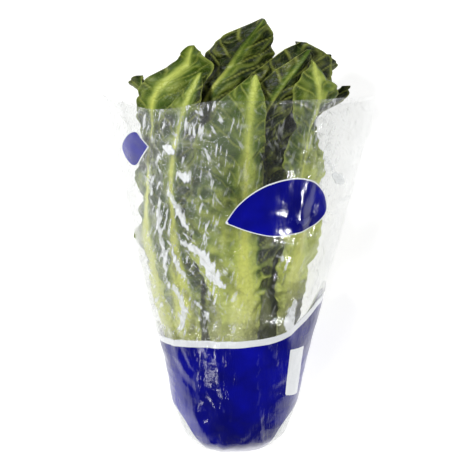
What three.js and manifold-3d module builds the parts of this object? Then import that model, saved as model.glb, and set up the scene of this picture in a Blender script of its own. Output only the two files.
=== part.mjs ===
// A romaine lettuce head lying on its back in a tapered clear film sleeve.
// Millimetres. +Y runs from the cut butt to the leaf tips, +Z is up, and the sleeve lies on Z = 0.
//
// The head is grown from the inside out in a round space of its own: r and angle about the stem, y along it.
// Each leaf is laid over whatever is already there, a gap above it, so the leaves nest and never meet.
// One smooth map then flattens that round head to the way it lies in the sleeve.

import * as THREE from "three";
import { mergeVertices } from "three/addons/utils/BufferGeometryUtils.js";
import Module from "manifold-3d";

// Driving dimensions
const ORIGIN_Y = 150; // distance from the butt to the part's origin
const CORE_RADIUS = 13; // cut stem at the butt
const CORE_LENGTH = 58;
const HEART_TIP = 214; // where the closed heart ends
const BUD_TIP = 202; // the solid bud inside it
const BLADE = 1.1; // leaf blade thickness
const RIB_AT_ROOT = 4.4; // how far the midrib stands out of the blade at its root
const FILM = 0.8; // sleeve wall
const SLEEVE_END = -32; // sealed end of the sleeve, behind the butt
const SLEEVE_MOUTH = 262;
const LENGTH_OF_GRID = 345; // a little more than the longest leaf

const DEG = Math.PI / 180;
const GOLDEN_ANGLE = 137.5;

const clamp01 = (t) => Math.min(1, Math.max(0, t));
const smooth = (from, to, t) => {
  const s = clamp01((t - from) / (to - from));
  return s * s * (3 - 2 * s);
};

// Smooth curve through [place, value] pairs
function along(points, t) {
  if (t <= points[0][0]) return points[0][1];
  for (let i = 1; i < points.length; i++) {
    const [a, va] = points[i - 1];
    const [b, vb] = points[i];
    if (t > b) continue;
    const slope = (k) => {
      const lo = points[Math.max(0, k - 1)];
      const hi = points[Math.min(points.length - 1, k + 1)];
      return (hi[1] - lo[1]) / (hi[0] - lo[0]);
    };
    const s = (t - a) / (b - a);
    const s2 = s * s;
    const s3 = s2 * s;
    const h = b - a;
    return (
      va * (2 * s3 - 3 * s2 + 1) +
      slope(i - 1) * h * (s3 - 2 * s2 + s) +
      vb * (3 * s2 - 2 * s3) +
      slope(i) * h * (s3 - s2)
    );
  }
  return points.at(-1)[1];
}

// How the round head lies: wide and low, on a flattened back, drifting to the right at the tips
const WIDEN = [[0, 0.96], [80, 1.04], [200, 1.0], [340, 1.1]];
const LOWER = [[0, 0.9], [80, 0.84], [200, 0.7], [340, 0.7]];
const AXIS_HEIGHT = [[0, 36], [80, 41], [200, 48], [340, 51]];
const DRIFT = [[0, -3], [60, -4], [160, -7], [250, -4], [300, 5], [340, 18]];
const FLAT_BACK = 0.14;

function place(r, angle, y) {
  const down = Math.max(0, -Math.sin(angle));
  const pressed = r * (1 - FLAT_BACK * down ** 4);
  return new THREE.Vector3(
    along(DRIFT, y) + along(WIDEN, y) * pressed * Math.cos(angle),
    y - ORIGIN_Y,
    along(AXIS_HEIGHT, y) + along(LOWER, y) * pressed * Math.sin(angle),
  );
}

// The pile: how far out the leaves reach so far, on a grid of angle and y
const ANGLES = 72;
const STEP_Y = 5;
const ROWS_Y = LENGTH_OF_GRID / STEP_Y + 1;
const SPREAD_ANGLE = 2; // cells that a leaf bridges when it is laid over an edge
const SPREAD_Y = 2;
const LEAST_RADIUS = 12;
const SPREADS_FROM = 215; // past here the tips stand apart, each at its own reach from the stem's line
const TIP_RADIUS = 28; // a tip is not rolled tighter than this
const JUST_BESIDE = 1.08; // the pile counts a leaf as reaching this much past its edge

const wrap = (i) => ((i % ANGLES) + ANGLES) % ANGLES;
const turn = (a) => a - 2 * Math.PI * Math.round(a / (2 * Math.PI));

function newPile(radiusAt) {
  return Array.from({ length: ROWS_Y }, (_, j) =>
    new Array(ANGLES).fill(radiusAt(j * STEP_Y)),
  );
}

// The largest, or the mean, of the cells round each cell
function filtered(grid, kind) {
  const pass = (source, di, dj, spread) =>
    source.map((row, j) =>
      row.map((_, i) => {
        let largest = 0;
        let sum = 0;
        for (let s = -spread; s <= spread; s++) {
          const jj = Math.min(ROWS_Y - 1, Math.max(0, j + s * dj));
          const value = source[jj][wrap(i + s * di)];
          largest = Math.max(largest, value);
          sum += value;
        }
        return kind === "largest" ? largest : sum / (2 * spread + 1);
      }),
    );
  return pass(pass(grid, 1, 0, SPREAD_ANGLE), 0, 1, SPREAD_Y);
}

const draped = (pile) => filtered(filtered(pile, "largest"), "mean");

function sample(grid, angle, y) {
  const a = (turn(angle) / (2 * Math.PI)) * ANGLES;
  const b = Math.min(ROWS_Y - 1.001, Math.max(0, y / STEP_Y));
  const i = Math.floor(a);
  const j = Math.floor(b);
  const [s, t] = [a - i, b - j];
  const at = (di, dj) => grid[j + dj][wrap(i + di)];
  return (
    (at(0, 0) * (1 - s) + at(1, 0) * s) * (1 - t) +
    (at(0, 1) * (1 - s) + at(1, 1) * s) * t
  );
}

// One leaf, u across from -1 to 1 and v along from root to tip
const ROUND_TIP = [
  [0, 0.38], [0.12, 0.34], [0.3, 0.5], [0.5, 0.8], [0.68, 1.0],
  [0.82, 0.92], [0.92, 0.68], [0.97, 0.44], [1, 0.16],
];
const POINTED_TIP = [
  [0, 0.4], [0.12, 0.36], [0.3, 0.56], [0.5, 0.88], [0.62, 1.0],
  [0.76, 0.86], [0.88, 0.56], [0.96, 0.26], [1, 0.08],
];

// Half width along a leaf, as a share of its widest. point makes the tip pointed, waist the stalk narrow.
function outline(leaf, v) {
  const plain = along(ROUND_TIP, v) * (1 - leaf.point) + along(POINTED_TIP, v) * leaf.point;
  return plain * (1 - leaf.waist * smooth(0.05, 0.2, v) * (1 - smooth(0.36, 0.6, v)));
}

const WIDEST_ANGLE = 1.5; // radians, either side of the midrib
const looseness = (y) => 1.9 - 0.3 * smooth(40, 90, y) + 0.8 * smooth(60, 220, y);
const centreAngle = (leaf, v) => (leaf.azimuth + leaf.lean * clamp01((v - 0.5) / 0.5) ** 2) * DEG;

// How wide each half is of the leaf's own width. tuck narrows the right half towards the tip.
const sideOf = (leaf, u, v) => (u > 0 ? leaf.left : leaf.right * (1 - leaf.tuck * smooth(0.56, 0.72, v)));
const halfAngle = (leaf, v) =>
  Math.min(WIDEST_ANGLE, (outline(leaf, v) * leaf.halfWidth) / leaf.radiusAt(v));
const angleAt = (leaf, u, v) => centreAngle(leaf, v) + u * halfAngle(leaf, v) * sideOf(leaf, u, v);

// Height of a leaf's inner face above what it lies on
function standOff(leaf, u, v, y) {
  const edge = Math.abs(u) ** 1.6;
  const cycle = (y / leaf.waveLength) * 2 * Math.PI + leaf.phase + (u > 0 ? 1.9 : 0);
  const ripple = 0.5 + 0.5 * Math.sin(cycle);
  return (
    looseness(y) +
    leaf.wave * edge * smooth(0.25, 0.6, v) * ripple +
    leaf.open * edge * smooth(0.45, 0.9, v) +
    leaf.ridge * (1 - Math.abs(u)) * smooth(0.5, 0.85, v)
  );
}

function thickness(leaf, u, v) {
  const ribHalf = (15 - 11 * smooth(0, 0.75, v)) / (outline(leaf, v) * leaf.halfWidth * sideOf(leaf, u, v));
  const swell = 0.4 + 0.6 * smooth(0, 0.08, v);
  const rib = RIB_AT_ROOT * leaf.rib * swell * (1 - 0.86 * smooth(0, 0.7, v)) * (1 - smooth(0.55, 1, v));
  return BLADE + rib * Math.exp(-((u / Math.max(0.12, ribHalf)) ** 2));
}

// Mean radius of the bed under a leaf, which turns its width into an angle
function meanRadius(bed, angle, y) {
  const places = [-40, -20, 0, 20, 40].map((a) => sample(bed, angle + a * DEG, y));
  return places.reduce((a, b) => a + b, 0) / places.length + looseness(y);
}

function growLeaf(pile, leaf) {
  const bed = draped(pile);
  const span = leaf.tip - leaf.root;
  const reachAt = (y) => leaf.reach * smooth(SPREADS_FROM, leaf.tip, y);
  leaf.radiusAt = (v) => {
    const y = leaf.root + v * span;
    const least = y < SPREADS_FROM ? LEAST_RADIUS : TIP_RADIUS;
    return Math.max(least, reachAt(y), meanRadius(bed, centreAngle(leaf, v), y));
  };
  const inner = (u, v) => {
    const y = leaf.root + v * span;
    const under = sample(bed, angleAt(leaf, u, v), y);
    return Math.max(under, reachAt(y)) + standOff(leaf, u, v, y);
  };
  for (let j = 0; j < ROWS_Y; j++) {
    const v = (j * STEP_Y - leaf.root) / span;
    if (v * span < -STEP_Y || (v - 1) * span > STEP_Y) continue;
    for (let i = 0; i < ANGLES; i++) {
      const angle = (i / ANGLES) * 2 * Math.PI;
      const vv = clamp01(v);
      const fromMidrib = turn(angle - centreAngle(leaf, vv));
      const u = fromMidrib / (halfAngle(leaf, vv) * sideOf(leaf, fromMidrib, vv));
      if (Math.abs(u) > JUST_BESIDE) continue;
      const uu = Math.max(-1, Math.min(1, u));
      pile[j][i] = Math.max(pile[j][i], inner(uu, vv) + thickness(leaf, uu, vv));
    }
  }
  return inner;
}

// A closed solid from two like grids of points: the outer face, the inner face and the rim between them
function shellGeometry(outer, inner) {
  const rows = outer.length;
  const columns = outer[0].length;
  const positions = [...outer.flat(), ...inner.flat()].flatMap((p) => [p.x, p.y, p.z]);
  const id = (face, j, i) => face * rows * columns + j * columns + i;
  const index = [];
  for (let j = 0; j + 1 < rows; j++) {
    for (let i = 0; i + 1 < columns; i++) {
      for (const face of [0, 1]) {
        const [a, b] = [id(face, j, i), id(face, j + 1, i)];
        const [c, d] = [id(face, j + 1, i + 1), id(face, j, i + 1)];
        const cells = (i + 0.5) * 2 < columns ? [a, b, c, a, c, d] : [a, b, d, b, c, d];
        index.push(...(face === 0 ? cells : cells.reverse()));
      }
    }
  }
  const border = [];
  for (let i = 0; i + 1 < columns; i++) border.push([0, i]);
  for (let j = 0; j + 1 < rows; j++) border.push([j, columns - 1]);
  for (let i = columns - 1; i > 0; i--) border.push([rows - 1, i]);
  for (let j = rows - 1; j > 0; j--) border.push([j, 0]);
  border.forEach(([j, i], k) => {
    const [jj, ii] = border[(k + 1) % border.length];
    const [a, b, c, d] = [id(0, j, i), id(0, jj, ii), id(1, jj, ii), id(1, j, i)];
    index.push(a, b, c, a, c, d);
  });
  return new THREE.BufferGeometry()
    .setAttribute("position", new THREE.Float32BufferAttribute(positions, 3))
    .setIndex(index);
}

function leafGeometry(leaf, inner, outer = (u, v) => inner(u, v) + thickness(leaf, u, v)) {
  const span = leaf.tip - leaf.root;
  const grid = (face) =>
    Array.from({ length: leaf.rows + 1 }, (_, j) => {
      const v = 1 - (1 - j / leaf.rows) ** 1.25;
      return Array.from({ length: leaf.columns + 1 }, (_, i) => {
        const s = (2 * i) / leaf.columns - 1;
        const u = 0.85 * s + 0.15 * s ** 3; // closer together over the midrib
        return place(face(u, v), angleAt(leaf, u, v), leaf.root + v * span);
      });
    });
  return shellGeometry(grid(outer), grid(inner));
}

// Leaves round the heart: one every golden angle, each larger and rooted lower than the last
const INNER_LEAVES = 9;
const innerLeaves = Array.from({ length: INNER_LEAVES }, (_, k) => ({
  name: `leaf_inner_${k + 1}`,
  azimuth: 40 + k * GOLDEN_ANGLE,
  root: 46 - 2.5 * k,
  tip: 228 + 8 * k + 6 * Math.sin(k * 2.3),
  halfWidth: 34 + 2 * k,
  left: 1,
  right: 1,
  waist: 0,
  tuck: 0,
  point: 0.4,
  rib: 0.5 + 0.04 * k,
  lean: 6 * Math.sin(k * 1.7),
  reach: 15 + 1.5 * k,
  open: 1,
  ridge: 0,
  wave: 1.8,
  waveLength: 52,
  phase: k * 1.3,
  rows: 12,
  columns: 6,
}));

// Leaves of the outside, from the innermost out, as they show in the sleeve's mouth.
// An azimuth of 90 faces up and -90 lies underneath. lean is how far the tip swings round by.
// left and right scale a leaf's halves, seen from its outer face with the tip up.
const OUTER_LEAVES = [
  {
    name: "leaf_tall", azimuth: 136, root: 20, tip: 325,
    halfWidth: 35, lean: -54, point: 0.3, ridge: 7, reach: 30,
  },
  {
    name: "leaf_back_right", azimuth: -62, root: 17, tip: 290,
    halfWidth: 44, lean: 18, point: 0.4, reach: 44,
  },
  {
    name: "leaf_side_right", azimuth: 8, root: 15, tip: 300,
    halfWidth: 36, lean: 24, point: 0, reach: 60,
  },
  {
    name: "leaf_side_left", azimuth: 184, root: 14, tip: 284,
    halfWidth: 36, lean: -26, point: 0, reach: 66,
  },
  {
    name: "leaf_back", azimuth: -96, root: 12, tip: 274,
    halfWidth: 46, lean: 8, point: 0.3, reach: 36,
  },
  {
    name: "leaf_cupped_right", azimuth: 88, root: 13, tip: 309,
    halfWidth: 34, lean: -40, open: 5, reach: 40,
  },
  {
    name: "leaf_corner_right", azimuth: -36, root: 11, tip: 270,
    halfWidth: 40, lean: 18, point: 0.5, reach: 77,
  },
  {
    name: "leaf_back_left", azimuth: -146, root: 10, tip: 262,
    halfWidth: 46, lean: -8, point: 0.3, reach: 50,
  },
  {
    name: "leaf_front_left", azimuth: 157, root: 8, tip: 307,
    halfWidth: 34, lean: -27, left: 0.4, right: 1.2, rib: 0.7, reach: 50,
  },
  {
    name: "leaf_folded_right", azimuth: 88, root: 9, tip: 306,
    halfWidth: 19, lean: -32, ridge: 6, reach: 48,
  },
  {
    name: "leaf_front_right", azimuth: 24, root: 7, tip: 300,
    halfWidth: 30, lean: 34, point: 0.5, ridge: 3, reach: 54,
  },
  {
    name: "leaf_small_front", azimuth: 122, root: 6, tip: 290,
    halfWidth: 21, lean: -8, point: 0.6, ridge: 2, reach: 48,
  },
  {
    name: "leaf_front", azimuth: 80, root: 5, tip: 290,
    halfWidth: 36, lean: 2, point: 0.2, ridge: 2, reach: 46, left: 1.1, right: 0.9, waist: 0.35, tuck: 0.6,
  },
].map((leaf, k) => ({
  rib: 0.9 + 0.02 * k,
  left: 1,
  right: 1,
  waist: 0,
  tuck: 0,
  point: 0,
  open: 1,
  ridge: 0,
  wave: 2.8,
  waveLength: 46 + 3 * (k % 4),
  phase: k * 1.9,
  rows: 18,
  columns: 8,
  ...leaf,
}));

// The heart: a few small leaves wrapped round a bud and grown into it
const HEART_LEAVES = 5;
const heartLeaves = Array.from({ length: HEART_LEAVES }, (_, k) => ({
  azimuth: k * GOLDEN_ANGLE,
  root: CORE_LENGTH + 3,
  tip: HEART_TIP - 26 + 6.5 * k,
  halfWidth: 22 + 2 * k,
  left: 1,
  right: 1,
  waist: 0,
  tuck: 0,
  point: 0.4,
  rib: 0.3,
  lean: 0,
  reach: 0,
  open: 0,
  ridge: 0,
  wave: 1.2,
  waveLength: 40,
  phase: k,
  rows: 6,
  columns: 4,
}));

const coreRadius = (y) => CORE_RADIUS * (1 - 0.5 * smooth(14, CORE_LENGTH, y));
function budRadius(y) {
  const s = clamp01((y - CORE_LENGTH) / (BUD_TIP - CORE_LENGTH));
  return coreRadius(CORE_LENGTH) * (1 - s) + 11 * Math.sin(Math.PI * s ** 0.8) ** 0.8;
}

// A solid of revolution about the stem, bent to the way the head lies
function turnedGeometry(radiusAt, from, to, steps, sides) {
  const profile = [new THREE.Vector2(0, from)];
  for (let k = 0; k <= steps; k++) {
    const y = from + ((to - from) * k) / steps;
    profile.push(new THREE.Vector2(radiusAt(y), y));
  }
  profile.push(new THREE.Vector2(0, to));
  const turned = new THREE.LatheGeometry(profile, sides);
  turned.deleteAttribute("normal");
  turned.deleteAttribute("uv");
  const merged = mergeVertices(turned, 1e-3);
  const position = merged.getAttribute("position");
  for (let k = 0; k < position.count; k++) {
    const [x, y, z] = [position.getX(k), position.getY(k), position.getZ(k)];
    const bent = place(Math.hypot(x, z), Math.atan2(z, x), y);
    position.setXYZ(k, bent.x, bent.y, bent.z);
  }
  return merged;
}

// The sleeve, from its sealed end to its mouth: where its middle runs, how wide and high it is,
// and the height of its side seams
const SLEEVE_CENTRE = [[SLEEVE_END, -3], [140, 0], [SLEEVE_MOUTH, 4]];
const SLEEVE_HALF_WIDTH = [
  [SLEEVE_END, 24], [-23, 32], [-9, 38], [8, 43.5], [30, 49],
  [78, 58], [110, 66], [150, 75], [200, 87], [SLEEVE_MOUTH, 102],
];
const SLEEVE_TOP = [
  [SLEEVE_END, 12], [-24, 33], [-11, 62], [8, 89], [60, 104], [120, 113], [200, 126], [SLEEVE_MOUTH, 126],
];
const SEAM_HEIGHT = [[SLEEVE_END, 6], [30, 36], [120, 36], [SLEEVE_MOUTH, 26]];
const MOUTH_RISE = 15; // how much further the upper edge of the mouth reaches than the lower
const SLEEVE_SIDES = 32;
const SLEEVE_RINGS = 14;

function sleeveRing(y, inset) {
  const half = along(SLEEVE_HALF_WIDTH, y) - 2.2 * inset;
  const seam = along(SEAM_HEIGHT, y);
  const rise = along(SLEEVE_TOP, y) - seam - inset;
  const fall = seam - inset;
  const pinch = 0.8 + 0.4 * smooth(90, SLEEVE_MOUTH, y); // the sides close to a flat seam towards the mouth
  const nearMouth = smooth(SLEEVE_MOUTH - 60, SLEEVE_MOUTH, y);
  return Array.from({ length: SLEEVE_SIDES }, (_, k) => {
    const angle = (k / SLEEVE_SIDES) * 2 * Math.PI;
    const up = Math.sin(angle);
    const share = Math.abs(up) ** pinch;
    const z = up >= 0 ? seam + rise * share : seam - fall * Math.min(1, 1.12 * share);
    return new THREE.Vector3(
      along(SLEEVE_CENTRE, y) + half * Math.cos(angle),
      y + MOUTH_RISE * up * nearMouth - ORIGIN_Y,
      z,
    );
  });
}

function sleeveGeometry() {
  const rings = [];
  for (let k = 0; k <= SLEEVE_RINGS; k++) {
    const s = k / SLEEVE_RINGS;
    rings.push(sleeveRing(SLEEVE_END + (SLEEVE_MOUTH - SLEEVE_END) * s ** 1.3, 0));
  }
  for (let k = SLEEVE_RINGS; k >= 0; k--) {
    const s = k / SLEEVE_RINGS;
    const from = SLEEVE_END + 3;
    rings.push(sleeveRing(from + (SLEEVE_MOUTH - from) * s ** 1.3, FILM));
  }
  const mid = (ring) => ring.reduce((sum, p) => sum.add(p), new THREE.Vector3()).divideScalar(SLEEVE_SIDES);
  const points = [...rings.flat(), mid(rings[0]), mid(rings.at(-1))];
  const index = [];
  for (let j = 0; j + 1 < rings.length; j++) {
    for (let i = 0; i < SLEEVE_SIDES; i++) {
      const next = (i + 1) % SLEEVE_SIDES;
      const [a, b] = [j * SLEEVE_SIDES + i, j * SLEEVE_SIDES + next];
      const [c, d] = [(j + 1) * SLEEVE_SIDES + i, (j + 1) * SLEEVE_SIDES + next];
      index.push(a, c, d, a, d, b);
    }
  }
  const last = (rings.length - 1) * SLEEVE_SIDES;
  for (let i = 0; i < SLEEVE_SIDES; i++) {
    const next = (i + 1) % SLEEVE_SIDES;
    index.push(points.length - 2, i, next);
    index.push(points.length - 1, last + next, last + i);
  }
  return new THREE.BufferGeometry()
    .setAttribute("position", new THREE.Float32BufferAttribute(points.flatMap((p) => [p.x, p.y, p.z]), 3))
    .setIndex(index);
}

// Joining solids
const wasm = await Module();
wasm.setup();

function solidOf(geometry) {
  const merged = mergeVertices(geometry, 1e-3);
  return new wasm.Manifold(
    new wasm.Mesh({
      numProp: 3,
      vertProperties: merged.getAttribute("position").array,
      triVerts: new Uint32Array(merged.index.array),
    }),
  );
}

function geometryOf(solid) {
  const mesh = solid.getMesh();
  return new THREE.BufferGeometry()
    .setAttribute("position", new THREE.BufferAttribute(mesh.vertProperties, 3))
    .setIndex(new THREE.BufferAttribute(mesh.triVerts, 1));
}

const COLOURS = {
  core: 0xe9e6c4,
  heart: 0xdfe39a,
  inner: 0xb9cc6a,
  outer: 0x7a9c45,
  film: 0xdfe6ea,
};

const material = (color, roughness, more = {}) =>
  new THREE.MeshStandardMaterial({ color, roughness, metalness: 0, ...more });

const part = new THREE.Group();
function add(name, geometry, look) {
  const mesh = new THREE.Mesh(geometry, look);
  mesh.name = name;
  part.add(mesh);
}

add("core", turnedGeometry(coreRadius, 0, CORE_LENGTH, 6, 20), material(COLOURS.core, 0.6));

const pile = newPile((y) => (y <= CORE_LENGTH ? coreRadius(y) : budRadius(y)));
let heart = solidOf(turnedGeometry(budRadius, CORE_LENGTH + 0.4, BUD_TIP, 8, 10));
for (const leaf of heartLeaves) {
  const inner = growLeaf(pile, leaf);
  const outer = (u, v) => inner(u, v) + thickness(leaf, u, v);
  const deepInTheBud = (u, v) => Math.max(1, 0.5 * budRadius(leaf.root + v * (leaf.tip - leaf.root)));
  heart = heart.add(solidOf(leafGeometry(leaf, deepInTheBud, outer)));
}
add("heart", geometryOf(heart), material(COLOURS.heart, 0.5));

for (const leaf of innerLeaves) {
  add(leaf.name, leafGeometry(leaf, growLeaf(pile, leaf)), material(COLOURS.inner, 0.45));
}
for (const leaf of OUTER_LEAVES) {
  add(leaf.name, leafGeometry(leaf, growLeaf(pile, leaf)), material(COLOURS.outer, 0.45));
}

add("sleeve", sleeveGeometry(), material(COLOURS.film, 0.12, { transparent: true, opacity: 0.3 }));

export default part;
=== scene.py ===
import math

import bpy
import numpy as np
from mathutils import Matrix, Vector


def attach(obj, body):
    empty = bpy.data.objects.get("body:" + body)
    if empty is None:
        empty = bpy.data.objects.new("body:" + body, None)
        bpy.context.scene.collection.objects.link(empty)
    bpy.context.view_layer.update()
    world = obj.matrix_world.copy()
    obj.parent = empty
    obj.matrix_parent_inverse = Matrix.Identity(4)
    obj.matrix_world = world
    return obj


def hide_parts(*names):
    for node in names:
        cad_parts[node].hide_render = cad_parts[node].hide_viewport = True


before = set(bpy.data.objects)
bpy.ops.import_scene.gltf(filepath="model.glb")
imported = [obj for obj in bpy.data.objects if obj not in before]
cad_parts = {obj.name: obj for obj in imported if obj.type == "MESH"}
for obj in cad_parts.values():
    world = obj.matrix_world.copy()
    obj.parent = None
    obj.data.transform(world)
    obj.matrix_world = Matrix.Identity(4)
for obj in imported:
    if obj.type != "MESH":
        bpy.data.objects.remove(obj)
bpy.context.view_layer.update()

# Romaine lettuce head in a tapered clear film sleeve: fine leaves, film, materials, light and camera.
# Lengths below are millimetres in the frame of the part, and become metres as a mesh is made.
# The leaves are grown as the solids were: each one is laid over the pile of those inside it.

MM = 0.001
DEG = math.pi / 180
GOLDEN_ANGLE = 137.5
FLAT_SCALE = 0.01  # one unit of a texture's flat plane stands for 100 mm
OUTSIDE = -9  # a distance well outside any outline

# Driving dimensions, the same as the solids', whose blades and film are thicker
ORIGIN_Y = 150  # from the cut stem to the middle of the head
CORE_RADIUS = 13
CORE_LENGTH = 58
HEART_TIP = 214
BUD_TIP = HEART_TIP - 12
LAID_BLADE = 1.1  # blade thickness of the solids, which sets how far apart the leaves lie
BLADE = 0.8  # blade thickness drawn here
RIB_AT_ROOT = 4.4
FILM = 0.35
SLEEVE_END = -32
SLEEVE_MOUTH = 262
LENGTH_OF_GRID = 345  # of the pile, a little past the longest leaf

# The pile holds a radius for each angle about the stem and each place along it
ANGLES = 72
STEP_Y = 5
ROWS_Y = LENGTH_OF_GRID // STEP_Y + 1
SPREAD_ANGLE = 2  # cells that a laid leaf bridges, round the stem
SPREAD_Y = 2  # and along it

LEAST_RADIUS = 12  # of a leaf's bend
SPREADS_FROM = 215  # from here the tips spread
TIP_RADIUS = 28  # least radius of their bend
WIDEST_ANGLE = 1.5  # of a leaf to each side of its midrib, in radians

# How the head lies: wider and lower than it grew, its axis at this height, wandering across
WIDEN = [(0, 0.96), (80, 1.04), (200, 1.0), (340, 1.1)]
LOWER = [(0, 0.9), (80, 0.84), (200, 0.7), (340, 0.7)]
AXIS_HEIGHT = [(0, 36), (80, 41), (200, 48), (340, 51)]
DRIFT = [(0, -3), (60, -4), (160, -7), (250, -4), (300, 5), (340, 18)]
FLAT_BACK = 0.14  # share of the radius pressed away underneath

# Share of a leaf's half width at each place along it
ROUND_TIP = [
    (0, 0.38), (0.12, 0.34), (0.3, 0.5), (0.5, 0.8), (0.68, 1.0), (0.82, 0.92), (0.92, 0.68), (0.97, 0.44),
    (1, 0.16),
]
POINTED_TIP = [
    (0, 0.4), (0.12, 0.36), (0.3, 0.56), (0.5, 0.88), (0.62, 1.0), (0.76, 0.86), (0.88, 0.56), (0.96, 0.26),
    (1, 0.08),
]


# Curves and noise

def smooth(start, end, t):
    """0 up to start, 1 from end on, and smooth between them."""
    s = np.clip((t - start) / (end - start), 0, 1)
    return s * s * (3 - 2 * s)


def along(points, t):
    """Smooth curve through (place, value) pairs."""
    place_at = np.array([p[0] for p in points], float)
    value = np.array([p[1] for p in points], float)
    last = len(points) - 1
    low = np.maximum(np.arange(last + 1) - 1, 0)
    high = np.minimum(np.arange(last + 1) + 1, last)
    slope = (value[high] - value[low]) / (place_at[high] - place_at[low])
    t = np.clip(np.asarray(t, float), place_at[0], place_at[-1])
    i = np.clip(np.searchsorted(place_at, t, side="left") - 1, 0, last - 1)
    h = place_at[i + 1] - place_at[i]
    s = (t - place_at[i]) / h
    s2, s3 = s * s, s * s * s
    return (
        value[i] * (2 * s3 - 3 * s2 + 1)
        + slope[i] * h * (s3 - 2 * s2 + s)
        + value[i + 1] * (3 * s2 - 2 * s3)
        + slope[i + 1] * h * (s3 - s2)
    )


def noise(x, y, seed):
    """Smooth value noise between -1 and 1, one cell per unit."""
    table = np.random.default_rng(seed).uniform(-1, 1, (64, 64))
    i, j = np.floor(x).astype(int), np.floor(y).astype(int)
    s, t = x - i, y - j
    s, t = s * s * (3 - 2 * s), t * t * (3 - 2 * t)
    at = lambda di, dj: table[(i + di) % 64, (j + dj) % 64]
    return (at(0, 0) * (1 - s) + at(1, 0) * s) * (1 - t) + (at(0, 1) * (1 - s) + at(1, 1) * s) * t


def blurred(grid, passes):
    """Each pass averages a cell with its four neighbours; the border keeps its own."""
    grid = grid.copy()
    for _ in range(passes):
        padded = np.pad(grid, 1, mode="edge")
        near = padded[:-2, 1:-1] + padded[2:, 1:-1] + padded[1:-1, :-2] + padded[1:-1, 2:]
        grid = 0.5 * grid + 0.125 * near
    return grid


# The pile that the leaves are laid over

def place(r, angle, y):
    """Points of the lying head, from radius and angle about the stem and y along it."""
    down = np.maximum(0, -np.sin(angle))
    pressed = r * (1 - FLAT_BACK * down**4)
    x = along(DRIFT, y) + along(WIDEN, y) * pressed * np.cos(angle)
    z = along(AXIS_HEIGHT, y) + along(LOWER, y) * pressed * np.sin(angle)
    return np.stack([x, y - ORIGIN_Y + 0 * x, z], axis=-1)


def turn(angle):
    """The same angle between -pi and pi."""
    return angle - 2 * math.pi * np.round(angle / (2 * math.pi))


def turned_copies(grid):
    return [np.roll(grid, s, axis=1) for s in range(-SPREAD_ANGLE, SPREAD_ANGLE + 1)]


def shifted_copies(grid):
    rows = np.arange(len(grid))
    return [grid[np.clip(rows + s, 0, len(grid) - 1)] for s in range(-SPREAD_Y, SPREAD_Y + 1)]


def draped(pile):
    """The pile as a sheet laid over it would lie: its hollows bridged, then smoothed."""
    high = np.max(shifted_copies(np.max(turned_copies(pile), axis=0)), axis=0)
    return np.mean(shifted_copies(np.mean(turned_copies(high), axis=0)), axis=0)


def sample(grid, angle, y):
    """Height of the pile between the places where it is stored."""
    a = turn(angle) / (2 * math.pi) * ANGLES
    b = np.clip(y / STEP_Y, 0, ROWS_Y - 1.001)
    i, j = np.floor(a).astype(int), np.floor(b).astype(int)
    s, t = a - i, b - j
    at = lambda di, dj: grid[j + dj, (i + di) % ANGLES]
    return (at(0, 0) * (1 - s) + at(1, 0) * s) * (1 - t) + (at(0, 1) * (1 - s) + at(1, 1) * s) * t


def looseness(y):
    """The gap left between a leaf and what it lies on."""
    return 1.9 - 0.3 * smooth(40, 90, y) + 0.8 * smooth(60, 220, y)


# One leaf: u runs across it from -1 to 1 and v along it from root to tip

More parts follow.
